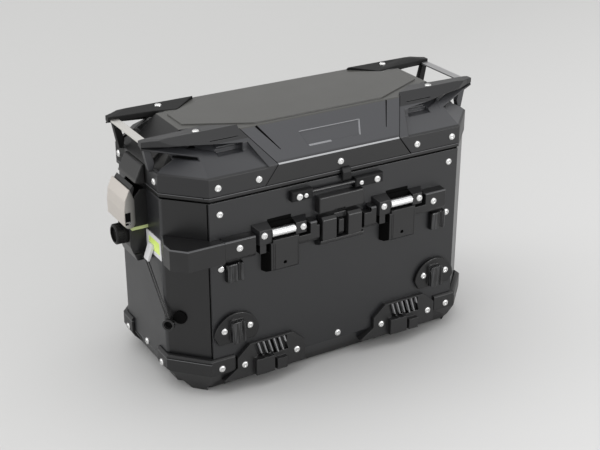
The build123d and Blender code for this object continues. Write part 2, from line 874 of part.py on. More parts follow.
# Bare metal plate over the outside of the lever.
with BuildPart() as latch_plate:
    with BuildSketch(Plane.XZ):
        Polygon(
            *lever_face,
            *[(x + lever_plate, z) for x, z in reversed(lever_face)],
            align=None,
        )
    extrude(amount=latch_half_width, both=True)
save(latch_plate.part, "latch_plate")

# Moulded claw along the top of the lever.
with BuildPart() as latch_claw:
    with BuildSketch(Plane.XZ):
        Polygon(
            (-262.1, 285.5),
            (-258.5, 290.0),
            (-256.5, 287.0),
            (-259.5, 276.0),
            (-266.3, 276.0),
            align=None,
        )
    extrude(amount=latch_half_width - lever_wall, both=True)
save(latch_claw.part, "latch_claw")

# Grey receiver block on the lid, just above the claw.
lid_face = -lid_half_length
with BuildPart() as latch_receiver:
    with BuildSketch(Plane.XZ):
        Polygon(
            (lid_face, 317.0),
            (lid_face - 4, 316.0),
            (lid_face - 15, 293.0),
            (lid_face - 8, 290.8),
            (lid_face, 290.8),
            align=None,
        )
    extrude(amount=latch_half_width, both=True)
save(latch_receiver.part, "latch_receiver")

# Lock housing below the lever, with the key barrel in its bore.
lock_axis = Plane(origin=(-lock_face_x, 0, knob_height), z_dir=(-1, 0, 0))
with BuildPart() as lock_housing:
    with BuildSketch(Plane.XZ):
        Polygon(
            (latch_face, lock_bottom),
            (latch_face - 17, lock_bottom),
            (-lock_face_x, lock_bottom + 20),
            (-lock_face_x, lock_top),
            (latch_face, lock_top),
            align=None,
        )
    extrude(amount=latch_half_width - 4, both=True)
    with Locations(lock_axis):
        Hole(barrel_radius + barrel_fit, depth=22)
save(lock_housing.part, "lock_housing")

knob_face = knob_reach - lock_face_x
with BuildPart() as lock_knob:
    for start, length, radius in (
        (-20.0, 20.3, barrel_radius),
        (0.3, 3.7, knob_flare),
        (4.0, knob_face - 4.0, knob_radius),
    ):
        with BuildSketch(lock_axis.offset(start)):
            Circle(radius)
        extrude(amount=length)
    chamfer(lock_knob.faces().sort_by(Axis.X)[0].edges(), length=1.5)
    with BuildSketch(lock_axis.offset(knob_face)):
        Circle(knob_radius - 3)
    extrude(amount=-4, mode=Mode.SUBTRACT)
    with BuildSketch(lock_axis.offset(knob_face - 4)):
        Rectangle(1.6, 8)
    extrude(amount=-3, mode=Mode.SUBTRACT)
save(lock_knob.part, "lock_knob")

# Lime spacer between the lever's base and the lock housing.
with BuildPart() as latch_spacer:
    with Locations((latch_face - 11.5, 0, (lock_top + latch_base_bottom) / 2)):
        Box(23, 2 * (latch_half_width - 2), latch_base_bottom - lock_top)
save(latch_spacer.part, "latch_spacer")

# Bare plate with a pale border beside the lock housing.
with BuildPart() as name_plate:
    with BuildSketch(end_face(-1, -46.0, 210.5)):
        RectangleRounded(40.0, 23.0, 2.0)
    extrude(amount=plate_raise)
save(name_plate.part, "name_plate")

# Metal tab on that plate, bent outwards; the cable below is fixed to its foot.
tab_face = latch_face - plate_raise
with BuildPart() as cable_tab:
    with BuildSketch(Plane.XZ.offset(-cable_top_y - tab_width / 2)):
        Polygon(
            (tab_face, tab_high),
            (tab_face - tab_thickness, tab_high),
            (tab_face - tab_reach - tab_thickness, tab_low + 2),
            (tab_face - tab_reach - tab_thickness, tab_low),
            (tab_face - tab_reach, tab_low),
            (tab_face, tab_high - 5),
            align=None,
        )
    extrude(amount=tab_width)
save(cable_tab.part, "cable_tab")

# Stud low on the cut corner, and the doubled cable stretched to it from that tab.
wall_cut_y = corner_cut_y - sheet
corner_turn = atan2(corner_cut_x, wall_cut_y)
stud_y = half_depth - corner_cut_y + wall_cut_y * (half_length - stud_x) / corner_cut_x
corner_out = Vector(-cos(corner_turn), -sin(corner_turn), 0)
stud_plane = Plane(origin=(-stud_x, -stud_y, stud_height), z_dir=corner_out)
with BuildPart() as tether_stud:
    for radius, start, length in (
        (stud_radius, 0, stud_neck),
        (stud_head_radius, stud_neck, stud_head),
    ):
        with BuildSketch(stud_plane.offset(start)):
            Circle(radius)
        extrude(amount=length)
save(tether_stud.part, "tether_stud")

cable_foot = stud_plane.origin + corner_out * (0.85 * stud_neck)
cable_top = Vector(tab_face - tab_reach - tab_thickness / 2, cable_top_y, tab_low)
cable_run = cable_top - cable_foot
across = cable_run.normalized().cross(corner_out) * (cable_spacing / 2)
with BuildPart() as tether_cable:
    for start in (cable_foot + across, cable_foot - across):
        with BuildSketch(Plane(origin=start, z_dir=cable_run)):
            Circle(cable_radius)
        extrude(amount=1.1 * cable_run.length)
    split(bisect_by=Plane.XY.offset(tab_low), keep=Keep.BOTTOM)
    with BuildSketch(stud_plane):
        Circle(stud_radius)
    extrude(amount=stud_neck, mode=Mode.SUBTRACT)
save(tether_cable.part, "tether_cable")

# ================================================================ hinge end
hinge_axis = Plane(origin=(hinge_x, 0, hinge_height), z_dir=(0, 1, 0))
leaf_half = hinge_half_width
with BuildPart() as hinge_base:
    with BuildSketch(Plane.XZ):
        with Locations((hinge_x, hinge_height)):
            Circle(hinge_radius)
        Polygon(
            (half_length, 246.0),
            (half_length + hinge_leaf, 246.0),
            (half_length + hinge_leaf, 272.0),
            (hinge_x + hinge_radius * 0.9, hinge_height - 2),
            (hinge_x - hinge_radius, hinge_height),
            (half_length, 280.0),
            align=None,
        )
    extrude(amount=leaf_half, both=True)
    with BuildSketch(Plane.XZ):
        with Locations((hinge_x + 2, hinge_height + 1)):
            Rectangle(19.0, 18.0)
    extrude(amount=leaf_half - hinge_knuckle_half, both=True, mode=Mode.SUBTRACT)
    with Locations(hinge_axis):
        Cylinder(hinge_pin_radius, far / 2, mode=Mode.SUBTRACT)
save(hinge_base.part, "hinge_base")

with BuildPart() as hinge_pin:
    with Locations(hinge_axis):
        Cylinder(hinge_pin_radius, 2 * leaf_half)
save(hinge_pin.part, "hinge_pin")

knuckle_half = leaf_half - hinge_knuckle_half - hinge_gap
with BuildPart() as hinge_lid_leaf:
    with BuildSketch(Plane.XZ):
        with Locations((hinge_x, hinge_height)):
            Circle(hinge_radius)
        Polygon(
            (lid_half_length, 312.0),
            (lid_half_length + hinge_leaf, 312.0),
            (lid_half_length + hinge_leaf, 294.0),
            (hinge_x + hinge_radius * 0.8, hinge_height + 3),
            (hinge_x - hinge_radius + 1, hinge_height + 1.5),
            (lid_half_length, 287.5),
            align=None,
        )
    extrude(amount=knuckle_half, both=True)
    with Locations(hinge_axis):
        Cylinder(hinge_pin_radius + hinge_fit, far / 2, mode=Mode.SUBTRACT)
save(hinge_lid_leaf.part, "hinge_lid_leaf")

# ================================================================== the lid
# Corner zone of the lid at +X -Y that belongs to its cover.
with BuildPart() as corner_zone:
    with BuildSketch(Plane.XZ):
        Polygon(
            (seam_low_x, lip_top),
            (seam_crease_x, lid_crease),
            (seam_top_x, lid_top),
            (seam_top_x, arm_top + 1),
            (far, arm_top + 1),
            (far, lip_top),
            align=None,
        )
    extrude(amount=far)
    with BuildSketch(Plane.XY.offset(lid_bottom)):
        Polygon(
            (seam_crease_x - 10, -far),
            (seam_crease_x - 10, -arm_ridge_y),
            (seam_top_x, -arm_ridge_y),
            (134.0, -60.0),
            (163.0, -36.0),
            (far, -36.0),
            (far, -far),
            align=None,
        )
    extrude(amount=far, mode=Mode.INTERSECT)
with BuildPart() as corner_zones:
    add(list(corners_of(corner_zone.part).values()))
# Finger pocket under the arm's edge, sunk through the cover into the lid.
with BuildPart() as pocket:
    with BuildSketch(Plane.XZ.offset(pocket_back_y)):
        Polygon(
            (pocket_near_x, pocket_bottom),
            (pocket_near_x, arm_edge_height),
            (pocket_far_x, arm_edge_height + 3),
            (pocket_far_x, pocket_bottom),
            align=None,
        )
    extrude(amount=far)
with BuildPart() as lid_corners:
    add(cover_form(cover_wall))
    add(corner_zones.part, mode=Mode.INTERSECT)
    add(list(corners_of(pocket.part).values()), mode=Mode.SUBTRACT)

slope_plane = Plane(
    origin=(0, -lid_half_depth, lid_crease),
    x_dir=(1, 0, 0),
    z_dir=(0, -sin(slope_angle), cos(slope_angle)),
)
with BuildPart() as lid_void:
    add(lid_form(lid_wall))
    with BuildSketch(Plane.XY.offset(lid_bottom)):
        Rectangle(2 * (seam_crease_x - 12), body_depth)
    extrude(amount=far, mode=Mode.INTERSECT)
    add(cover_form(2 * cover_wall))
    split(bisect_by=Plane.XY.offset(lid_top - lid_wall), keep=Keep.BOTTOM)
    # the lid is thicker behind the pockets
    with BuildSketch(Plane.XZ.offset(pocket_back_y - lid_wall)):
        Polygon(
            (pocket_near_x - lid_wall, pocket_bottom - lid_wall),
            (pocket_near_x - lid_wall, far),
            (pocket_far_x + lid_wall, far),
            (pocket_far_x + lid_wall, pocket_bottom - lid_wall),
            align=None,
        )
    thick = extrude(amount=far, mode=Mode.PRIVATE)
    add(list(corners_of(thick).values()), mode=Mode.SUBTRACT)
with BuildPart() as lid_shell:
    add(lid_form(0))
    add(corner_zones.part, mode=Mode.SUBTRACT)
    add(lid_corners.part)
    with BuildSketch(Plane.XY.offset(lid_top)):
        octagon(184.0, 64.0, 84.0, 42.0)
    extrude(amount=panel_raise)
    with BuildSketch(slope_plane):
        Polygon((-46.0, 39.9), (47.0, 39.9), (38.0, 17.2), (-41.0, 17.2), align=None)
    extrude(amount=-emblem_depth, mode=Mode.SUBTRACT)
    add(lid_void.part, mode=Mode.SUBTRACT)
    with BuildSketch(Plane.XY.offset(lid_bottom + rib_lift)):
        lid_octagon(lid_wall - 1)
    extrude(amount=rib_height)
    with BuildSketch(Plane.XY.offset(lid_bottom)):
        lid_octagon(rib_reach)
    extrude(amount=rib_lift + rib_height, mode=Mode.SUBTRACT)
save(lid_shell.part, "lid_shell")

with BuildPart() as lid_seal:
    with BuildSketch(Plane.XY.offset(rim_height + seal_clearance)):
        lid_octagon(seal_inset)
    extrude(amount=lid_gap + rib_lift - seal_clearance)
    with BuildSketch(Plane.XY.offset(rim_height + seal_clearance)):
        lid_octagon(seal_inset + seal_width)
    extrude(amount=lid_gap + rib_lift - seal_clearance, mode=Mode.SUBTRACT)
save(lid_seal.part, "lid_seal")

# ============================================================ corner covers
# Each cover wraps a lid corner and carries a handle: a flat arm runs out over the
# end, a thin brace lies under it, and a strut drops from the tip to the lid's end.
with BuildPart() as brace:
    with BuildSketch(Plane.YZ.offset(150.0)):
        Polygon(
            (-lid_half_depth, cover_crease + brace_rise),
            (-cover_slope_reach, lid_top + brace_rise),
            (-cover_slope_reach, lid_top + brace_rise - brace_wall),
            (-lid_half_depth, cover_crease + brace_rise - brace_wall),
            align=None,
        )
    extrude(amount=arm_tip_x - 150.0)
    with BuildSketch(Plane.XY.offset(lid_bottom)):
        Polygon(
            (183.0, -86.0),
            (193.0, -82.0),
            (211.0, -75.0),
            (230.0, -67.5),
            (arm_tip_x, -58.0),
            (arm_tip_x, -50.0),
            (206.0, -66.0),
            (184.5, -76.0),
            align=None,
        )
    extrude(amount=far, mode=Mode.INTERSECT)

with BuildPart() as arm:
    with BuildSketch(Plane.XY.offset(lid_bottom)):
        Polygon(
            (seam_top_x, -arm_ridge_y - 0.5),
            (134.0, -60.0),
            (163.0, -36.5),
            (196.0, -43.5),
            (244.0, -46.5),
            (arm_tip_x, -48.5),
            (arm_tip_x, -58.0),
            (247.0, -61.5),
            (225.0, -73.0),
            (190.0, -82.2),
            (165.0, -85.0),
            (128.0, -arm_edge_y),
            (116.0, -arm_edge_y),
            align=None,
        )
    extrude(amount=far)
    with BuildSketch(Plane.XZ):
        Polygon(
            (100.0, 320.0),
            (pocket_near_x, 320.0),
            (pocket_near_x, arm_edge_height),
            (pocket_far_x, arm_edge_height + 3),
            (210.0, arm_under),
            (arm_tip_x, arm_under),
            (arm_tip_x, arm_top - arm_tip_drop),
            (225.0, arm_top),
            (100.0, arm_top),
            align=None,
        )
    extrude(amount=far, mode=Mode.INTERSECT)
    add(corner_zone.part, mode=Mode.INTERSECT)
    with BuildSketch(Plane.YZ):
        drop = (lid_half_depth - arm_ridge_y) * tan(slope_angle)
        Polygon(
            (0, lid_bottom),
            (0, arm_top - arm_rear_fall * arm_ridge_y),
            (-arm_ridge_y, arm_top),
            (-lid_half_depth, arm_top - drop),
            (-lid_half_depth, lid_bottom),
            align=None,
        )
    extrude(amount=far, mode=Mode.INTERSECT)
    with BuildSketch(Plane.XY.offset(arm_seat)):
        with Locations((arm_screw_x, -arm_screw_y)):
            Circle(seat_radius)
    extrude(amount=head_height, mode=Mode.SUBTRACT)

with BuildPart() as leg:
    add(lid_form(0))
    with BuildSketch(Plane.XZ):
        Polygon(
            (seam_crease_x - 4, lid_crease - 3),
            (seam_crease_x, lid_crease),
            (seam_top_x, lid_top),
            (seam_top_x + 8, lid_top),
            (123.0, 345.5),
            (109.5, 319.5),
            (107.0, lid_crease - 3),
            align=None,
        )
    extrude(amount=far, mode=Mode.INTERSECT)

with BuildPart() as cover:
    add(cover_form(0))
    add(leg.part)
    add(corner_zone.part, mode=Mode.INTERSECT)
    # the corner is open above its facet, under the arm
    with BuildSketch(Plane.XY.offset(cavity_height)):
        Polygon((191.0, -far), (191.0, -77.0), (213.0, -57.0), (far, -57.0), (far, -far), align=None)
    extrude(amount=far, mode=Mode.SUBTRACT)
    # so is the end slope below the handle
    with BuildSketch(Plane.XY.offset(cover_crease + 1.5)):
        Polygon((217.0, -63.5), (far, -68.0), (far, -30.0), (217.0, -30.0), align=None)
    extrude(amount=far, mode=Mode.SUBTRACT)
    # and the front slope close under the arm, out from the pocket
    with BuildSketch(Plane.XY.offset(pocket_bottom)):
        Polygon((162.0, -82.6), (183.0, -73.4), (195.0, -64.0), (195.0, -60.0), (162.0, -60.0), align=None)
    extrude(amount=far, mode=Mode.SUBTRACT)
    add(pocket.part, mode=Mode.SUBTRACT)
    add(arm.part)
    add(brace.part)
    # strut from the tip down to the lid's end wall
    with BuildSketch(Plane.XZ.offset(strut_near_y)):
        Polygon(
            (strut_top_x, handle_height),
            (strut_top_x - strut_wall, handle_height),
            (lid_half_length - 4, 326.0),
            (lid_half_length - 1, cover_crease - 2),
            (lid_half_length + 4, cover_crease),
            align=None,
        )
    extrude(amount=strut_width)
    add(cover_form(cover_wall), mode=Mode.SUBTRACT)
    with BuildSketch(Plane.XZ):
        with Locations((handle_x, handle_height)):
            Rectangle(handle_width + 2 * handle_fit, handle_thickness + 2 * handle_fit)
    extrude(amount=handle_half_length + handle_fit, mode=Mode.SUBTRACT)
for corner, piece in corners_of(cover.part).items():
    save(piece, f"{corner}_cover")
save(button_heads(lid_side_planes + lid_end_planes), "lid_screws")
save(button_heads(arm_screw_planes), "handle_screws")

# Flat aluminium carrying handles between the tips of the covers.
for side, name in ((-1, "left"), (1, "right")):
    with BuildPart() as handle:
        with BuildSketch(Plane.XZ.offset(-handle_half_length)):
            with Locations((side * handle_x, handle_height)):
                RectangleRounded(handle_width, handle_thickness, 1.2)
        extrude(amount=2 * handle_half_length)
    save(handle.part, f"{name}_handle")

# Tongue on the lid that drops over the clamped rod.
with BuildPart() as lid_tongue:
    with BuildSketch(Plane.YZ.offset(0)):
        with BuildLine():
            Polyline(
                (-lid_half_depth, 295.0),
                (-lid_half_depth - 3, 294.0),
                (-lid_half_depth - tongue_depth, 288.0),
                (-lid_half_depth - tongue_depth, rim_height - tongue_drop + 2),
                (-lid_half_depth - tongue_depth + 2, rim_height - tongue_drop),
                (-lid_half_depth - 1, rim_height - tongue_drop),
                (-lid_half_depth, lid_bottom),
                close=True,
            )
        make_face()
    extrude(amount=tongue_width)
save(lid_tongue.part, "lid_tongue")
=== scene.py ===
from math import cos, pi, radians, sin

import bpy
import bmesh
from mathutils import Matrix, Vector


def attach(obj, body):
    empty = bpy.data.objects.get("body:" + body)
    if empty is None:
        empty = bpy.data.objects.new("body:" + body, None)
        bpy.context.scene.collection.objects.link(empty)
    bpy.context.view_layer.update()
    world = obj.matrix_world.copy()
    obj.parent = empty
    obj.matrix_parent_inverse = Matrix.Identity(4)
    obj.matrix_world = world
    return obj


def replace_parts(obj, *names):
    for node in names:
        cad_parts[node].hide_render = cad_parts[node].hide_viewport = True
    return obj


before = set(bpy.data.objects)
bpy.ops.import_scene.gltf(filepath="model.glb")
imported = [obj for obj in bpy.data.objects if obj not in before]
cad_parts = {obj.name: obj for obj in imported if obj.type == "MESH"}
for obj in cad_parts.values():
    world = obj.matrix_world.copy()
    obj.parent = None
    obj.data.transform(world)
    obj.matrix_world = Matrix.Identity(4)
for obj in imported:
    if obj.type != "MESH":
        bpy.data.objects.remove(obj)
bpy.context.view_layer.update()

# ------------------------------------------------------------------ camera
# A long lens looks down on the mounting side from the front left, and the whole
# case stands in the middle of a studio sweep.
camera = bpy.data.objects.new("camera", bpy.data.cameras.new("camera"))
camera.data.lens = 74.363
camera.data.sensor_width = 36.0
camera.data.clip_end = 50.0
camera.location = (-0.81357, -1.40337, 0.91599)
camera.rotation_euler = (radians(65.1), 0.0, radians(-30.3))
bpy.context.collection.objects.link(camera)
bpy.context.scene.camera = camera
bpy.context.scene.view_settings.view_transform = "Standard"

# ------------------------------------------------------------- studio floor
# Matt pale paper that runs out past every edge of the view, under one very broad
# soft lamp that three smaller ones help. Gloss sees a pale room all round.


class Field:
    """A value that varies over a surface. Its operators add the shader maths."""

    def __init__(self, finish, socket):
        self.finish = finish
        self.socket = socket

    def maths(self, operation, *values):
        return self.finish.node("ShaderNodeMath", {"operation": operation}, dict(enumerate(values)))

    def __add__(self, other):
        return self.maths("ADD", self, other)

    def __mul__(self, other):
        return self.maths("MULTIPLY", self, other)

    def __sub__(self, other):
        return self.maths("SUBTRACT", self, other)

    def __lt__(self, other):
        return self.maths("LESS_THAN", self, other)

    def __gt__(self, other):
        return self.maths("GREATER_THAN", self, other)

    __rmul__ = __mul__


class Finish:
    """A material being made, with one method that adds any node to it."""

    def __init__(self, name, colour, roughness, metallic=0.0, **constants):
        self.material = bpy.data.materials.new(name)
        self.material.use_nodes = True
        self.tree = self.material.node_tree
        self.shader = self.tree.nodes["Principled BSDF"]
        self.feed(Base_Color=(*colour, 1.0), Roughness=roughness, Metallic=metallic, **constants)

    def node(self, kind, settings=None, sockets=None, output=0):
        made = self.tree.nodes.new(kind)
        for name, value in (settings or {}).items():
            setattr(made, name, value)
        for name, value in (sockets or {}).items():
            self.plug(made.inputs[name], value)
        return Field(self, made.outputs[output])

    def plug(self, place, value):
        if isinstance(value, Field):
            self.tree.links.new(value.socket, place)
        else:
            place.default_value = value

    def feed(self, **values):
        for name, value in values.items():
            self.plug(self.shader.inputs[name.replace("_", " ")], value)

    def place(self):
        return self.node("ShaderNodeTexCoord", output="Object")

    def along(self, letter):
        return self.node("ShaderNodeSeparateXYZ", {}, {0: self.place()}, output=letter)

    def noise(self, size, detail=2.0, stretch=(1.0, 1.0, 1.0)):
        """Soft noise with features about size metres across, longer where stretch is above 1."""
        scale = tuple(1.0 / (size * s) for s in stretch)
        multiply = {"operation": "MULTIPLY"}
        spot = self.node("ShaderNodeVectorMath", multiply, {0: self.place(), 1: scale})
        return self.node("ShaderNodeTexNoise", {}, {"Vector": spot, "Scale": 1.0, "Detail": detail})

    def mix(self, share, first, second):
        ends = {0: share}
        for number, colour in ((6, first), (7, second)):
            ends[number] = colour if isinstance(colour, Field) else (*colour, 1.0)
        return self.node("ShaderNodeMix", {"data_type": "RGBA"}, ends, output=2)

    def relief(self, height, depth, edge):
        """Bumps of that depth in metres, on edges that look rounded by the radius edge."""
        rounded = self.node("ShaderNodeBevel", {"samples": 6}, {"Radius": edge})
        sockets = {"Height": height, "Distance": depth, "Strength": 1.0, "Normal": rounded}
        self.feed(Normal=self.node("ShaderNodeBump", {}, sockets))


floor_mesh = bpy.data.meshes.new("floor")
far = 6
paper_corners = [(-far, -far, 0), (far, -far, 0), (far, far, 0), (-far, far, 0)]
floor_mesh.from_pydata(paper_corners, [], [(0, 1, 2, 3)])
floor = bpy.data.objects.new("floor", floor_mesh)
bpy.context.collection.objects.link(floor)
paper = Finish("paper", (0.72, 0.72, 0.715), 0.95, Specular_IOR_Level=0.2)
# painted light: the paper is painted darker at the back left and paler at the front right, as the
# light falls off across it
paper_painted_light = paper.along("X") * 0.28 - paper.along("Y") * 0.60 + 0.37
paper.feed(Base_Color=paper.mix(paper_painted_light, (0.548, 0.548, 0.542), (0.738, 0.735, 0.733)))
floor_mesh.materials.append(paper.material)

world = bpy.data.worlds.new("studio")
bpy.context.scene.world = world
world.use_nodes = True
sky = world.node_tree.nodes["Background"]
sky.inputs["Color"].default_value = (0.985, 0.985, 0.985, 1.0)
rays = world.node_tree.nodes.new("ShaderNodeLightPath")
glow = world.node_tree.nodes.new("ShaderNodeMapRange")
room_light, room_gloss = 0.93, 0.78
glow.inputs["To Min"].default_value = room_light
glow.inputs["To Max"].default_value = room_gloss
world.node_tree.links.new(rays.outputs["Is Glossy Ray"], glow.inputs["Value"])
world.node_tree.links.new(glow.outputs["Result"], sky.inputs["Strength"])

case_middle = Vector((0, 0, 0.2))
for name, place, size, power, all_round in (
    ("overhead_lamp", (-0.25, 0.55, 4.0), 5.0, 56.0, True),
    ("front_lamp", (-0.9, -2.4, 1.5), 1.6, 3.5, True),
    ("left_lamp", (-2.3, 0.9, 0.7), 1.0, 11.0, True),
    # seen only in glossy edges
    ("gloss_strip", (1.0, -2.03, 0.78), 0.7, 24.0, False),
):
    lamp = bpy.data.objects.new(name, bpy.data.lights.new(name, "AREA"))
    lamp.data.energy = power
    lamp.data.size = size
    lamp.visible_diffuse = all_round
    lamp.location = place
    lamp.rotation_euler = (case_middle - Vector(place)).to_track_quat("-Z", "Y").to_euler()
    bpy.context.collection.objects.link(lamp)

# --------------------------------------------------------------- body shell
# One aluminium sheet bent round both long sides and the floor, and a folded
# shell at each end, all satin black powder coat. The shells are riveted under it.


def dress(finish, *nodes):
    """Gives CAD nodes their finish."""
    for node in nodes:
        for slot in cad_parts[node].material_slots:
            slot.material = finish.material


def coated(name, colour, roughness, grain, depth, edge):
    """A dark coat or moulding: fine grain, cloudy gloss and softly rounded edges."""
    cloud_size, swing = 0.06, 0.05
    finish = Finish(name, colour, roughness)
    cloud = finish.noise(cloud_size, 3.0)
    darker, lighter = (tuple(share * c for c in colour) for share in (0.75, 1.35))
    finish.feed(
        Base_Color=finish.mix(cloud, darker, lighter),
        Roughness=cloud * (2 * swing) + (roughness - swing),
    )
    finish.relief(finish.noise(grain), depth, edge)
    return finish


def mm(point):
    """Millimetres to metres."""
    return Vector(point) / 1000


def block(shell, outline, push, slot=0):
    """Adds a closed block: a flat outline of points in millimetres, pushed along a vector."""
    near = [shell.verts.new(mm(point)) for point in outline]
    far = [shell.verts.new(vert.co + mm(push)) for vert in near]
    sides = [shell.faces.new(near), shell.faces.new(list(reversed(far)))]
    for first, second, third, fourth in zip(near, near[1:] + near[:1], far[1:] + far[:1], far):
        sides.append(shell.faces.new((second, first, fourth, third)))
    for face in sides:
        face.material_index = slot


# how far a groove's block stands clear of the face it is cut into
overshoot = 0.6


def stroke(shell, start, end, width, depth, out):
    """Adds the block that cuts a straight groove of that width and depth into a face."""
    start, end, out = Vector(start), Vector(end), Vector(out).normalized()
    side = (end - start).cross(out).normalized() * (width / 2)
    lift = overshoot * out
    outline = (start + side + lift, end + side + lift, end - side + lift, start - side + lift)
    block(shell, outline, -out * (depth + overshoot), 1)


def copy_of(node):
    """The CAD node's mesh, closed up, ready to be carved."""
    shell = bmesh.new()
    shell.from_mesh(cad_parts[node].data)
    bmesh.ops.remove_doubles(shell, verts=shell.verts, dist=1e-6)
    for face in shell.faces:
        face.material_index = 0
    return shell


def turn_out(shell):
    """Turns every face of a closed shell outwards."""
    bmesh.ops.recalc_face_normals(shell, faces=shell.faces)


def carve(shell, cuts):
    """Takes the blocks in cuts away from the shell. The new faces take the blocks' slot."""
    pair = []
    for made in (shell, cuts):
        turn_out(made)
        mesh = bpy.data.meshes.new("stock")
        made.to_mesh(mesh)
        made.free()
        for slot in range(2):
            mesh.materials.append(None)
        pair.append(bpy.data.objects.new("stock", mesh))
        bpy.context.collection.objects.link(pair[-1])
    step = pair[0].modifiers.new("cut", "BOOLEAN")
    step.operation = "DIFFERENCE"
    step.solver = "EXACT"
    step.use_self = True
    step.object = pair[1]
    result = bmesh.new()
    result.from_object(pair[0], bpy.context.evaluated_depsgraph_get())
    for thing in pair:
        mesh = thing.data
        bpy.data.objects.remove(thing)
        bpy.data.meshes.remove(mesh)
    bmesh.ops.remove_doubles(result, verts=result.verts, dist=1e-6)
    return result


def soften(shell, width, steps=2, least=28, chosen=lambda edge: True, held=True):
    """Rounds the chosen edges that are sharper than least degrees by that many millimetres."""
    flat = radians(0.6)
    bmesh.ops.dissolve_limit(
        shell, angle_limit=flat, verts=shell.verts, edges=shell.edges, delimit={"MATERIAL"}
    )
    sharp = [
        edge
        for edge in shell.edges
        if len(edge.link_faces) == 2 and edge.calc_face_angle() > radians(least) and chosen(edge)
    ]
    bmesh.ops.bevel(
        shell,
        geom=sharp,
        offset=width / 1000,
        segments=steps,
        profile=0.5,
        affect="EDGES",
        clamp_overlap=held,
    )


def new_piece(name, shell, finish, body, inner=None):
    """Makes the shell an object that moves with a body. Slot 1 is the finish of its recesses, which
    paints shade in them.
    """
    mesh = bpy.data.meshes.new(name)
    shell.to_mesh(mesh)
    shell.free()
    mesh.materials.append(finish.material)
    if inner:
        mesh.materials.append(inner.material)
    piece = bpy.data.objects.new(name, mesh)
    bpy.context.collection.objects.link(piece)
    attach(piece, body)
    return piece


powder = coated("powder_coat", (0.0128, 0.0130, 0.0140), 0.38, 0.0009, 0.00004, 0.0012)
powder.feed(Specular_IOR_Level=0.58)
# painted light: past the sheet's ends the coat is painted paler on the hinged end's cut corners, as
# lit, and darker on the latch end's cut corners and round the floor bend, as shaded
sheet_end = 195.3
hinged_end, latch_end = powder.along("X") > sheet_end / 1000, powder.along("X") < -sheet_end / 1000
painted_highlight_zone = hinged_end * (powder.along("Y") < -0.072)
painted_shade_zone = latch_end * (powder.along("Y") < -0.069) + (powder.along("Z") < 0.016)
coat_with_painted_shade = powder.mix(painted_shade_zone, (0.0128, 0.0134, 0.0150), (0.003, 0.003, 0.0035))
powder.feed(Base_Color=powder.mix(painted_highlight_zone, coat_with_painted_shade, (0.085, 0.086, 0.088)))
# a near-black finish that paints shade on the faces of grooves, gaps, recesses and shaded sides
painted_shade_black = Finish("painted_shade_black", (0.002, 0.002, 0.002), 0.85, Specular_IOR_Level=0.08)
painted_shade_black.relief(painted_shade_black.noise(0.001), 0.0001, 0.0003)
dress(powder, "main_sheet")
seam_out, seam_foot, seam_top = 113.2, 56, 282
# an end's face, and where its cut corners start, in metres
end_face, cut_corner = 0.240, 0.068


def upright_corner(edge):
    """The upright folds between an end's face and its cut corners."""
    spots = [(abs(vert.co.x) - end_face, abs(vert.co.y) - cut_corner) for vert in edge.verts]
    return all(abs(x) < 2e-5 and abs(y) < 2e-5 for x, y in spots)


for name, side in (("left", -1), ("right", 1)):
    seams = bmesh.new()
    for front in (-1, 1):
        # a groove where the shell comes out from under the sheet, its faces painted black as shade
        foot, top = ((side * sheet_end, front * seam_out, z) for z in (seam_foot, seam_top))
        stroke(seams, foot, top, width=1.7, depth=1.3, out=(side, front, 0))
    shell = carve(copy_of(f"{name}_end_shell"), seams)
    soften(shell, 4.5, steps=4, least=20, chosen=upright_corner, held=False)
    piece = new_piece(f"{name}_end_shell_detail", shell, powder, "case", painted_shade_black)
    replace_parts(piece, f"{name}_end_shell")
dress(coated("rim_moulding", (0.012, 0.012, 0.012), 0.5, 0.0008, 0.00004, 0.0005), "body_rim")

# ---------------------------------------------------------------- fasteners
# Domed stainless button heads with a hexagon socket, each seated on the face of
# the piece it holds. Small ones pin the rod clamps.

# A head's profile: radius and height, both as a share of the head's radius.
head_rings = (
    (1.0, 0.0),
    (1.0, 0.09),
    (0.96, 0.2),
    (0.86, 0.33),
    (0.72, 0.42),
    (0.58, 0.46),
)
socket_rings = ((0.42, 0.46), (0.42 * 0.96, 0.2), (0.02, 0.15))
head_sides = 24


def island_seats(node):
    """For each separate solid of a node: the middle of its seat, the way it faces, its radius."""
    shell = bmesh.new()
    shell.from_mesh(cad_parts[node].data)
    bmesh.ops.remove_doubles(shell, verts=shell.verts, dist=1e-6)
    waiting = dict.fromkeys(shell.verts)
    while waiting:
        island, edge = [], [waiting.popitem()[0]]
        while edge:
            vert = edge.pop()
            island.append(vert.co.copy())
            near = [side.other_vert(vert) for side in vert.link_edges]
            near = [other for other in near if other in waiting]
            for other in near:
                del waiting[other]
            edge.extend(near)
        low = Vector([min(p[i] for p in island) for i in range(3)])
        high = Vector([max(p[i] for p in island) for i in range(3)])
        size = high - low
        axis = min(range(3), key=lambda i: size[i])
        centre = (low + high) / 2

        def spread(level):
            flat = [p - centre for p in island if abs(p[axis] - level) < 1e-5]
            return max(p[i] for p in flat for i in range(3) if i != axis)

        faces_up = spread(low[axis]) > spread(high[axis])
        seat = centre.copy()
        seat[axis] = low[axis] if faces_up else high[axis]
        out = Vector([0.0, 0.0, 0.0])
        out[axis] = 1.0 if faces_up else -1.0
        yield seat, out, max(size) / 2
    shell.free()


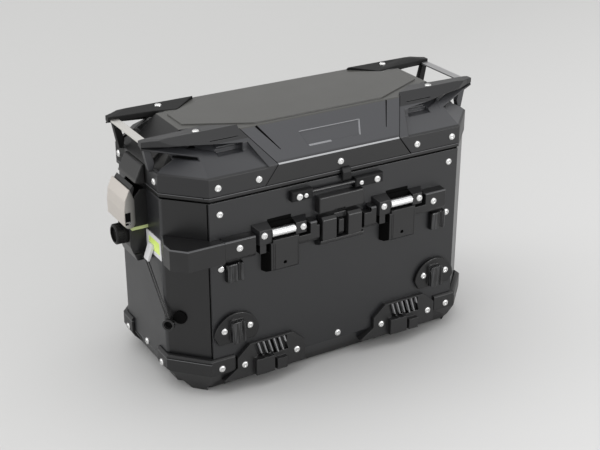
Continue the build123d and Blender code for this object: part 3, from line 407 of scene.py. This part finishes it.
def add_head(shell, seat, out, radius):
    """Adds one button head: a domed ring, its flat top, and a hexagon socket sunk in it."""
    turn = out.to_track_quat("Z", "Y").to_matrix()
    rings = []
    profile = [(r, h, False) for r, h in head_rings] + [(r, h, True) for r, h in socket_rings]
    for r, h, hexagon in profile:
        ring = []
        for step in range(head_sides):
            angle = 2 * pi * step / head_sides
            reach = r
            if hexagon:
                reach = r / cos((angle + pi / 6) % (pi / 3) - pi / 6)
            spot = Vector((reach * cos(angle), reach * sin(angle), h)) * radius
            ring.append(shell.verts.new(seat + turn @ spot))
        rings.append(ring)
    for number, (lower, upper) in enumerate(zip(rings, rings[1:])):
        for step in range(head_sides):
            after = (step + 1) % head_sides
            face = shell.faces.new((lower[step], lower[after], upper[after], upper[step]))
            face.smooth = 0 < number < len(head_rings) - 1
    shell.faces.new(rings[-1])


stainless = Finish("bright_stainless", (0.80, 0.80, 0.795), 0.24, 1.0)
turned = stainless.noise(0.0012, 2.0)
stainless.feed(Roughness=turned * 0.16 + 0.16)
stainless.relief(turned, 0.00002, 0.0003)
for node, body in (
    ("body_rivets", "case"),
    ("guard_screws", "case"),
    ("fitting_screws", "case"),
    ("roller_screws", "case"),
    ("clamp_pins", "case"),
    ("lid_screws", "lid"),
    ("handle_screws", "lid"),
):
    heads = bmesh.new()
    for seat, out, radius in island_seats(node):
        add_head(heads, seat, out, radius)
    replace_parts(new_piece(f"{node}_detail", heads, stainless, body), node)

# ------------------------------------------------------------ corner guards
# Thick glass-filled nylon feet screwed round the four bottom corners. They are
# coarsely grained, and a highlight is painted pale along one edge.
nylon = coated("guard_nylon", (0.0125, 0.0125, 0.0128), 0.44, 0.0013, 0.00009, 0.0016)
# a painted highlight runs just under the lip, past the ends of the sheet
highlight_low, highlight_high, highlight_in = 0.0508, 0.0517, 0.199
guard_x, guard_z = nylon.along("X"), nylon.along("Z")
past_sheet = (guard_x < -highlight_in) + (guard_x > highlight_in)
painted_guard_highlight = (guard_z > highlight_low) * (guard_z < highlight_high) * past_sheet
nylon.feed(Base_Color=nylon.mix(painted_guard_highlight, (0.0095, 0.0095, 0.0100), (0.13, 0.132, 0.135)))


def moulded(node, finish, body, rounding, cuts=None, darkened=None, added=None, steps=2):
    """Replaces a CAD node by a copy of it with cuts, rounded edges, and faces painted black as
    shade.
    """
    shell = copy_of(node)
    if cuts:
        shell = carve(shell, cuts)
    soften(shell, rounding, steps)
    if darkened:
        shell.normal_update()
        for face in shell.faces:
            if darkened(face.calc_center_median() * 1000, face.normal):
                face.material_index = 1
    if added:
        added(shell)
    turn_out(shell)
    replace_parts(new_piece(f"{node}_detail", shell, finish, body, painted_shade_black), node)


# a fine groove under the lip, across the cut corner
groove_height, groove_ends = 52.4, ((199.0, 121.48), (245.4, 72.53))
# The foot slopes up on both sides of its chin. Each slope is given for the front left
# guard: a point on it, the direction along it, the direction in under the case, the way
# out of it, and how far it runs along from the point either way.
foot_slopes = (
    (
        (-231.9, -80.4, 23.3),
        (0.5715, -0.6029, -0.5567),
        (0.3435, 0.779, -0.5245),
        (-0.7501, -0.1085, -0.6524),
        (-80, 32),
    ),
    (
        (-193.1, -119.0, 23.9),
        (0.5186, -0.5471, 0.6571),
        (0.3688, 0.7634, -0.5302),
        (0.2585, -0.6322, -0.7304),
        (-19, 50),
    ),
)
# how far each cut reaches to both sides under the case, and away from it
under, away = 80, 60
for facing, front in (("front", -1), ("back", 1)):
    for end, side in (("left", -1), ("right", 1)):
        cuts = bmesh.new()
        start, last = ((side * x, front * y, groove_height) for x, y in groove_ends)
        stroke(cuts, start, last, width=1.1, depth=1.0, out=(side * 0.7257, front * 0.6879, 0))
        flip = Vector((-side, -front, 1))
        for *plane, (low, high) in foot_slopes:
            middle, run, depth, out = (Vector(v) * flip for v in plane)
            corners = ((low, -under), (high, -under), (high, under), (low, under))
            block(cuts, [middle + a * run + b * depth for a, b in corners], away * out)
        moulded(f"{facing}_{end}_guard", nylon, "case", 0.8, cuts)

# ------------------------------------------------- band, flaps and rack pieces
# Black moulded band across the mounting side, with the pieces that meet the rack:
# catch, sill, pads, supports and hooks. They are of the guards' nylon, a little
# smoother, and a highlight is painted pale along the band's upper edge.
moulding = coated("band_nylon", (0.0120, 0.0120, 0.0125), 0.38, 0.0011, 0.00005, 0.0010)
band_painted_highlight = coated("band_with_painted_highlight", (0.012, 0.012, 0.0125), 0.38, 0.0011, 0.00005, 0.0006)
# painted highlight: a pale line along the band's upper edge
band_low, band_high = 0.2297, 0.23142
painted_edge_highlight = (band_painted_highlight.along("Z") > band_low) * (band_painted_highlight.along("Z") < band_high)
band_painted_highlight.feed(Base_Color=band_painted_highlight.mix(painted_edge_highlight, (0.009, 0.009, 0.0095), (0.075, 0.076, 0.080)))
moulded("mount_band", band_painted_highlight, "case", 0.5)
moulded("band_wrap", band_painted_highlight, "case", 0.5)
for node, body, rounding in (
    ("catch_block", "case", 0.6),
    ("catch_fork", "rack_catch", 0.9),
    ("catch_sill", "case", 0.7),
):
    moulded(node, moulding, body, rounding)

# Flaps under the rollers: upright grooves in their faces leave ribs between them, and
# the side towards the latch end is painted black as shade.
roller_middle = 93
flap_face = -132


def in_shade(centre, normal):
    return normal.x < -0.5 and centre.y > flap_face + 0.5


for name, middle in (("left", -roller_middle), ("right", roller_middle)):
    flap_grooves = bmesh.new()
    for offset, width in ((-17.5, 0.7), (-15, 0.7), (19.5, 0.6)):
        foot, top = ((middle + offset, flap_face, z) for z in (176, 214))
        stroke(flap_grooves, foot, top, width, depth=0.5, out=(0, -1, 0))
    moulded(f"{name}_flap", moulding, "case", 0.8, flap_grooves, in_shade)

# Pads and arched supports: their proud blocks have rounded upright edges and a flute.
# The rack has polished them in upright streaks.
polished = coated("polished_nylon", (0.012, 0.012, 0.0125), 0.26, 0.0011, 0.00003, 0.0022)
streaks = polished.noise(0.0022, 1.5, (1.0, 1.0, 12.0))
proud_face = -0.1226
proud, sunk = polished.along("Y") < proud_face, polished.along("Y") > proud_face
rubbing = (streaks * 3.2 - 1.25) * proud
polished.feed(
    Base_Color=polished.mix(rubbing, (0.004, 0.004, 0.0045), (0.055, 0.056, 0.058)),
    Roughness=streaks * 0.3 * proud + 0.12 * proud + 0.34 * sunk,
)
# for each piece: its middle, the flute's outline seen from above, its foot, and the rounding
fluted = (
    ("pad", 161.5, ((2.2, -124.8), (3.6, -121.4), (6.6, -121.4), (8.0, -124.8)), 160, 1.8),
    ("rack_support", 160.7, ((3.4, -128.8), (4.4, -126.2), (6.2, -126.2), (7.2, -128.8)), 70, 0.9),
)
flute_length = 45
for name, side in (("left", -1), ("right", 1)):
    for piece, middle, outline, foot, rounding in fluted:
        flute = bmesh.new()
        block(flute, [(side * middle + x, y, foot) for x, y in outline], (0, 0, flute_length))
        moulded(f"{name}_{piece}", polished, "case", rounding, flute, steps=3)

# Hooks: each has a window crossed by leaning ribs above its two blocks. The window's faces are
# painted black as shade.
hook_middle = 109.25
window = (
    (-27.5, 66.6), (23.5, 66.6), (23.0, 57.0), (19.0, 45.5), (3.0, 43.5),
    (2.6, 46.8), (-16.0, 46.8), (-22.5, 49.5), (-24.5, 58.5),
)
window_front, window_depth = -123.0, 6.2
# where each rib meets the top of the window, and the height of its foot
rib_places = ((-20.5, 48.5), (-12.4, 46.9), (-4.3, 46.9), (3.8, 43.7), (11.9, 44.6), (19.6, 56.5))
rib_lean, rib_half, rib_top, rib_back, rib_depth = 0.30, 0.9, 66.8, -116.2, 5.9
# the ribs share the hook's moulding but are painted pale, as a highlight on their lit faces
painted_lit_ribs = coated("ribs_painted_highlight", (0.27, 0.272, 0.277), 0.4, 0.0011, 0.00005, 0.0006)
for name, middle in (("left", -hook_middle), ("right", hook_middle)):
    opening = bmesh.new()
    block(opening, [(middle + x, window_front, z) for x, z in window], (0, window_depth, 0), 1)
    moulded(f"{name}_hook", moulding, "case", 0.9, opening)
    ribs = bmesh.new()
    for place, foot in rib_places:
        shift = (rib_top - foot) * rib_lean
        block(
            ribs,
            (
                (middle + place - rib_half, rib_back, rib_top),
                (middle + place + rib_half, rib_back, rib_top),
                (middle + place + rib_half + shift, rib_back, foot),
                (middle + place - rib_half + shift, rib_back, foot),
            ),
            (0, -rib_depth, 0),
        )
    soften(ribs, 0.4)
    turn_out(ribs)
    new_piece(f"{name}_hook_ribs", ribs, painted_lit_ribs, "case")

# ----------------------------------------------------------- rollers and rod
# Bright turned steel rollers between blacked steel blocks, each on a fixed axle,
# and a thin blacked rod held in two clamps under the lid's tongue.
blacked = coated("blacked_steel", (0.014, 0.014, 0.015), 0.34, 0.0006, 0.00002, 0.0009)
dress(blacked, "catch_rod", "hinge_base", "hinge_lid_leaf")
flat_black = coated("flat_black", (0.006, 0.006, 0.0065), 0.5, 0.0009, 0.00004, 0.0008)
flat_black.feed(Specular_IOR_Level=0.25)
moulded("rod_clamps", flat_black, "case", 0.5)
panel, plate_thickness = -116.0, 0.5
roller_half, dark_below = 18.5, 214.5


def upright_sheet(first, last, y, low, high):
    """The outline of an upright rectangle that faces along Y."""
    return (first, y, low), (last, y, low), (last, y, high), (first, y, high)


for name, middle in (("left", -roller_middle), ("right", roller_middle)):

    def in_the_dark(centre, normal):
        """The faces between the two blocks, and the sides of the post under the left one, painted
        black as shade.
        """
        between = abs(centre.x - middle) < roller_half
        return between or (centre.z < dark_below and abs(normal.x) > 0.7)

    def painted_shade_plates(shell):
        """Black plates on the panel that paint the shade behind the roller and behind the post."""
        for left, right, low, high in ((-17.8, 17.8, 238.8, 243.6), (-41.5, -22.2, 202.5, 215.0)):
            outline = upright_sheet(middle + left, middle + right, panel, low, high)
            block(shell, outline, (0, -plate_thickness, 0), 1)

    moulded(f"{name}_roller_bracket", blacked, "case", 0.9, None, in_the_dark, painted_shade_plates)
roller_steel = Finish("turned_steel", (0.86, 0.865, 0.87), 0.3, 1.0)
rings = roller_steel.noise(0.0008, 2.0, (0.25, 8.0, 8.0))
roller_steel.feed(Roughness=rings * 0.12 + 0.24)
roller_steel.relief(rings, 0.00001, 0.0006)
dress(roller_steel, "left_roller", "right_roller")
dress(stainless, "left_roller_axle", "right_roller_axle", "hinge_pin", "latch_pin")

# ---------------------------------------------------------------- latch end
# A satin stainless plate over a grey moulded lever, on a dark folded base, with a
# black claw, the key knob in its housing, a lime spacer and a bare name plate.
plate_steel = Finish("satin_plate", (0.70, 0.65, 0.605), 0.36, 1.0)
brushed = plate_steel.noise(0.0006, 2.0, (1.0, 1.0, 14.0))
plate_steel.feed(
    Base_Color=plate_steel.mix(brushed, (0.64, 0.595, 0.55), (0.74, 0.70, 0.655)),
    Roughness=brushed * 0.14 + 0.3,
)
plate_steel.relief(brushed, 0.00002, 0.0006)
plate = copy_of("latch_plate")


def fold(edge):
    """The plate's folds run right across it."""
    return abs(edge.verts[0].co.y - edge.verts[1].co.y) > 0.05


soften(plate, 4.0, steps=4, least=7, chosen=fold)
turn_out(plate)
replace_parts(new_piece("latch_plate_detail", plate, plate_steel, "latch"), "latch_plate")
grey = coated("grey_nylon", (0.085, 0.083, 0.078), 0.42, 0.0009, 0.00004, 0.0022)
# painted shade: the moulding is painted darker from its outer face towards the case
lever_painted_shade = grey.along("X") * 58.0 + 15.75
grey.feed(Base_Color=grey.mix(lever_painted_shade, (0.33, 0.32, 0.30), (0.010, 0.010, 0.010)))
# sunk grip in each cheek of the lever, with a bar left standing in it, its sunk faces painted black
# as shade
grips = bmesh.new()
cheek, grip_depth = 28.6, 1.5
for front in (-1, 1):
    for low, high in ((236.5, 239.5), (241.0, 254.0)):
        outline = upright_sheet(-272.2, -264.5, front * cheek, low, high)
        block(grips, outline, (0, -front * grip_depth, 0), 1)
moulded("latch_lever", grey, "latch", 1.0, grips)
moulded("latch_receiver", grey, "lid", 1.2)
dark = coated("dark_nylon", (0.005, 0.005, 0.005), 0.36, 0.0009, 0.00003, 0.0012)
dress(dark, "latch_base", "latch_claw")
moulded("lid_tongue", flat_black, "lid", 1.2)
# the lock's housing is slimmer above its foot
waist = bmesh.new()
waist_half = 20.5
for front in (-1, 1):
    block(waist, upright_sheet(-239.0, -270.0, front * waist_half, 190.0, 228.0), (0, front * 5, 0))
moulded("lock_housing", dark, "case", 1.0, waist)
lime = Finish("lime_enamel", (0.76, 0.96, 0.22), 0.32, Coat_Weight=0.3)
lime.relief(lime.noise(0.004), 0.00003, 0.0006)
dress(lime, "name_plate")
spacer = coated("lime_nylon", (0.42, 0.48, 0.22), 0.4, 0.0009, 0.00003, 0.0008)
dress(spacer, "latch_spacer")

# Pale frame round the name plate, and the bent metal tab that the cable hangs from.
pale = coated("pale_frame", (0.62, 0.62, 0.63), 0.35, 0.0015, 0.00002, 0.0006)
frame_shell = bmesh.new()
outline = ((-21.6, 194), (-67.0, 194), (-67.0, 223.5), (-21.6, 223.5))
block(frame_shell, [(-240.0, y, z) for y, z in outline], (-1.7, 0, 0))
hole = bmesh.new()
outline = ((-28.5, 200.0), (-63.0, 200.0), (-63.0, 217.5), (-28.5, 217.5))
block(hole, [(-239.0, y, z) for y, z in outline], (-4, 0, 0))
frame_shell = carve(frame_shell, hole)
soften(frame_shell, 0.5)
turn_out(frame_shell)
new_piece("plate_frame", frame_shell, pale, "case", painted_shade_black)
dress(pale, "cable_tab")

# The knob: a dark ring of grip ridges round a sunk face with a key slot.
knob_nylon = coated("knob_nylon", (0.003, 0.003, 0.003), 0.5, 0.0009, 0.00004, 0.0008)
knob_nylon.feed(Specular_IOR_Level=0.3)
dress(knob_nylon, "lock_knob")
ridges = bmesh.new()
ridge_count, ridge_length = 20, 9.2
knob_back, knob_radius = Vector((-268.4, 0, 214.5)), 13.3
for step in range(ridge_count):
    angle = 2 * pi * step / ridge_count
    out = Vector((0, cos(angle), sin(angle)))
    side = Vector((0, -sin(angle), cos(angle)))
    base = knob_back + out * knob_radius
    crest = base + out * 0.8
    outline = (base + side, crest + side * 0.5, crest - side * 0.5, base - side)
    block(ridges, outline, (-ridge_length, 0, 0))
turn_out(ridges)
new_piece("knob_grip", ridges, knob_nylon, "lock")

# The stud that the cable loops over, dished in the middle of its head, and a black
# domed disc beside it that paints the stud's soft shadow.
stud_nylon = coated("stud_nylon", (0.012, 0.012, 0.012), 0.3, 0.0009, 0.00003, 0.0012)
stud_out = Vector((-0.7109, -0.7033, 0))
stud_foot = Vector((-233.8, -74.27, 108))
stud_across = Vector((-0.7033, 0.7109, 0))
upward = Vector((0, 0, 1))


def disc(shell, centre, radius, push, slot=0):
    """Adds a round block, square to the cut corner that the stud stands on."""
    sides = 28
    outline = []
    for step in range(sides):
        angle = 2 * pi * step / sides
        outline.append(centre + radius * (cos(angle) * stud_across + sin(angle) * upward))
    block(shell, outline, push, slot)


dish = bmesh.new()
dish_floor, dish_radius = 12.0, 5.8
disc(dish, stud_foot + dish_floor * stud_out, dish_radius, 5 * stud_out, 1)
stud = carve(copy_of("tether_stud"), dish)
soften(stud, 0.9, steps=3)
turn_out(stud)
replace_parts(new_piece("tether_stud_detail", stud, stud_nylon, "case", painted_shade_black), "tether_stud")
stud_shadow_disc = bmesh.new()
shadow_disc_foot, shadow_disc_radius, shadow_disc_thickness = Vector((-225.3, -82.85, 114.5)), 9.5, 2.6
disc(stud_shadow_disc, shadow_disc_foot, shadow_disc_radius, shadow_disc_thickness * stud_out)
soften(stud_shadow_disc, 2.5, steps=5, least=60)
turn_out(stud_shadow_disc)
new_piece("stud_painted_shadow", stud_shadow_disc, painted_shade_black, "case")
cable = Finish("black_cable", (0.02, 0.02, 0.02), 0.4)
cable.relief(cable.noise(0.0008), 0.0001, 0.0003)
dress(cable, "tether_cable")

# ------------------------------------------------------------------- the lid
# Thick textured moulding. Its flat top carries a raised panel, and its middle
# slopes carry a fine groove near each corner cover. Highlights are painted pale on a few
# edges, and shade is painted on its walls and under the handles.
lid_plastic = coated("lid_moulding", (0.028, 0.0272, 0.0245), 0.43, 0.0012, 0.00007, 0.0016)
lid_x, lid_y, lid_z = (lid_plastic.along(letter) for letter in "XYZ")


def within(value, half):
    """One where the value is less than half away from zero."""
    return (value > -half) * (value < half)


def beyond(value, reach):
    """One where the value is further than reach from the middle of the case."""
    return (value < -reach) + (value > reach)


# the way the long slopes face, outwards and upwards
slope_y, slope_z = 0.6387, 0.7695
# painted highlights: the crease under the slope is painted pale, and so are three edges of the
# front recess
crease_height, recess_height, recess_low, lip_height = 0.3182, 0.3435, 0.3290, 0.2906
outside = beyond(lid_y, 0.1164)
crease_highlight = within(lid_z - crease_height, 0.0010) * within(lid_x + 0.002, 0.0955) * outside
recess_top_highlight = within(lid_z - recess_height, 0.0006) * within(lid_x - 0.0005, 0.0465)
slanted = lid_x - 0.0475 - (lid_z - recess_height) * 0.62
recess_end_highlight = within(slanted, 0.0008) * within(lid_z - 0.3365, 0.0075)
recess_foot_highlight = within(lid_z - recess_low, 0.0006) * within(lid_x + 0.023, 0.017)
on_outer_face = lid_z * slope_z - lid_y * slope_y > 0.3182
recess_highlight = (recess_top_highlight + recess_end_highlight + recess_foot_highlight) * on_outer_face
# painted highlight along the top of the lip
lip_highlight = within(lid_z - lip_height, 0.0004) * (beyond(lid_y, 0.113) + beyond(lid_x, 0.2))
# painted light and shade: the colour is painted dark on the wall and paler up the slope to
# the flat top, and the ends, under the handles, are painted dark as shade
slope_painted_light, top_painted_light = (lid_z - 0.3185) * 300, (lid_z - 0.3560) * 1500
shade_under_handles = beyond(lid_x, 0.1865) * (lid_z < 0.3572)
lid_light_and_shade = lid_plastic.mix(slope_painted_light, (0.009, 0.009, 0.0095), (0.060, 0.061, 0.067))
for share, colour in (
    (top_painted_light, (0.064, 0.0635, 0.0585)),
    (shade_under_handles, (0.004, 0.004, 0.004)),
    (recess_highlight, (0.27, 0.275, 0.29)),
    (lip_highlight, (0.11, 0.112, 0.118)),
    (crease_highlight, (0.46, 0.465, 0.48)),
):
    lid_light_and_shade = lid_plastic.mix(share, lid_light_and_shade, colour)
lid_plastic.feed(Base_Color=lid_light_and_shade)


def taper(shell, start, end, width, depth, out):
    """Adds the block that cuts a groove which narrows from that width to a millimetre."""
    start, end, out = Vector(start), Vector(end), Vector(out)
    half = (end - start).cross(out).normalized() / 2
    lift = overshoot * out
    ends = (start + width * half, end + half, end - half, start - width * half)
    block(shell, [corner + lift for corner in ends], -out * (depth + overshoot), 1)


# the lid's outline: its half sizes, the way its cut corners face and where they start
lid_half_x, lid_half_y = 241.7, 117.7
cut_x, cut_y, cut_start = 0.7251, 0.6886, 68.0


def ring(shell, low, high, reach, depth):
    """Adds the block of a groove round the lid, from reach outside its wall to depth inside."""
    levels = []
    for z in (low, high):
        for offset in (reach, -depth):
            long_x, long_y = lid_half_x + offset, lid_half_y + offset
            slant = cut_x * lid_half_x + cut_y * cut_start + offset
            short_y, short_x = (slant - cut_x * long_x) / cut_y, (slant - cut_y * long_y) / cut_x
            quarter = [(long_x, -short_y), (long_x, short_y), (short_x, long_y), (-short_x, long_y)]
            outline = quarter + [(-x, -y) for x, y in quarter]
            levels.append([shell.verts.new(mm((x, y, z))) for x, y in outline])
    low_out, low_in, high_out, high_in = levels
    loops = (low_out, high_out, high_in, low_in, low_out)
    for one, two in zip(loops, loops[1:]):
        for step in range(8):
            after = (step + 1) % 8
            shell.faces.new((one[step], one[after], two[after], two[step])).material_index = 1


# Beside each cover there is a short tapering groove, and a long one that runs up the wall
# and on up the slope. They are given for the back right cover.
short_groove = Vector((101.5, 71.2, 356.6)), Vector((82, 102.03, 331))
wall_groove = Vector((113.3, lid_half_y, 291.5)), Vector((93.7, lid_half_y, 318.3))
slope_groove = Vector((93.7, 117.9, 317.8)), Vector((125.2, 70.0, 357.6))
lid_grooves = bmesh.new()
for side in (-1, 1):
    for front in (-1, 1):
        flip = Vector((side, front, 1))
        slope = (0, front * slope_y, slope_z)
        wide, fine = (3.6, 0.8) if side == front else (1.9, 1.5)
        taper(lid_grooves, *(spot * flip for spot in short_groove), wide, depth=1.5, out=slope)
        stroke(lid_grooves, *(spot * flip for spot in wall_groove), fine, fine, (0, front, 0))
        stroke(lid_grooves, *(spot * flip for spot in slope_groove), fine, fine, slope)
# a fine line along the top of the lip, and a shadow gap along its foot
ring(lid_grooves, 291.2, 291.9, reach=1.0, depth=0.5)
ring(lid_grooves, 284.0, 286.4, reach=1.0, depth=2.2)
lid = carve(copy_of("lid_shell"), lid_grooves)


def crease(edge):
    """The long level edges between wall and slope."""
    level = all(abs(v.co.z - 0.318) < 1e-4 and abs(v.co.y) > 0.117 for v in edge.verts)
    return level and edge.calc_length() > 0.05


def panel_edge(edge):
    """The edges of the raised panel on the flat top."""
    return all(0.3573 < v.co.z < 0.3592 for v in edge.verts)


soften(lid, 2.0, steps=4, least=20, chosen=crease, held=False)
soften(lid, 0.5, least=20, chosen=panel_edge)
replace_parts(new_piece("lid_shell_detail", lid, lid_plastic, "lid", painted_shade_black), "lid_shell")
dress(coated("seal_foam", (0.004, 0.004, 0.004), 0.8, 0.0008, 0.0002, 0.0003), "lid_seal")

# ------------------------------------------------------------ corner covers
# Covers moulded in coarsely grained plastic and screwed over the lid's corners. Their
# arms run out past the ends of the lid and carry the handles. A slit runs high on each
# slope, and the two covers at the back have a darker, duller finish.
cover_plastic = coated("cover_moulding", (0.020, 0.020, 0.0205), 0.44, 0.0014, 0.00009, 0.0018)
# painted light: each slope is painted paler than the rest of the cover, and paler still towards the
# right, where more light falls
slope_foot, slope_top = 0.3178, 0.3475
slanting = (cover_plastic.along("Z") > slope_foot) * (cover_plastic.along("Z") < slope_top)
cover_painted_light = cover_plastic.along("X") * 2 + 0.5
painted_lit_slope = cover_plastic.mix(cover_painted_light, (0.030, 0.031, 0.035), (0.062, 0.063, 0.068))
cover_plastic.feed(Base_Color=cover_plastic.mix(slanting, (0.014, 0.0142, 0.0155), painted_lit_slope))
dull = coated("dull_cover_moulding", (0.006, 0.006, 0.006), 0.5, 0.0014, 0.00009, 0.0018)
dull.feed(Specular_IOR_Level=0.22)
slit_out, slit_height = 78, 350.95
for facing, front, finish in (("front", -1, cover_plastic), ("back", 1, dull)):
    for end, side in (("left", -1), ("right", 1)):
        slit = bmesh.new()
        start, last = ((side * x, front * slit_out, slit_height) for x in (131, 171))
        stroke(slit, start, last, width=1.0, depth=1.3, out=(0, front * slope_y, slope_z))
        moulded(f"{facing}_{end}_cover", finish, "lid", 0.7, slit)

# ------------------------------------------------------------------ handles
# Flat anodised aluminium bars, one past each end of the lid. They are brushed
# lengthwise, and their ends are held in the tips of the arms.
bar = Finish("brushed_bar", (0.74, 0.725, 0.69), 0.3, 1.0)
lines = bar.noise(0.0007, 2.0, (1.0, 14.0, 1.0))
# painted shade: the bar at the hinged end is painted the darker one
bar_painted_shade = bar.along("X") * 10 + 0.5
bar.feed(
    Base_Color=bar.mix(bar_painted_shade, (0.74, 0.725, 0.69), (0.40, 0.40, 0.405)),
    Roughness=lines * 0.16 + 0.24,
)
bar.relief(lines, 0.00002, 0.0008)
dress(bar, "left_handle", "right_handle")
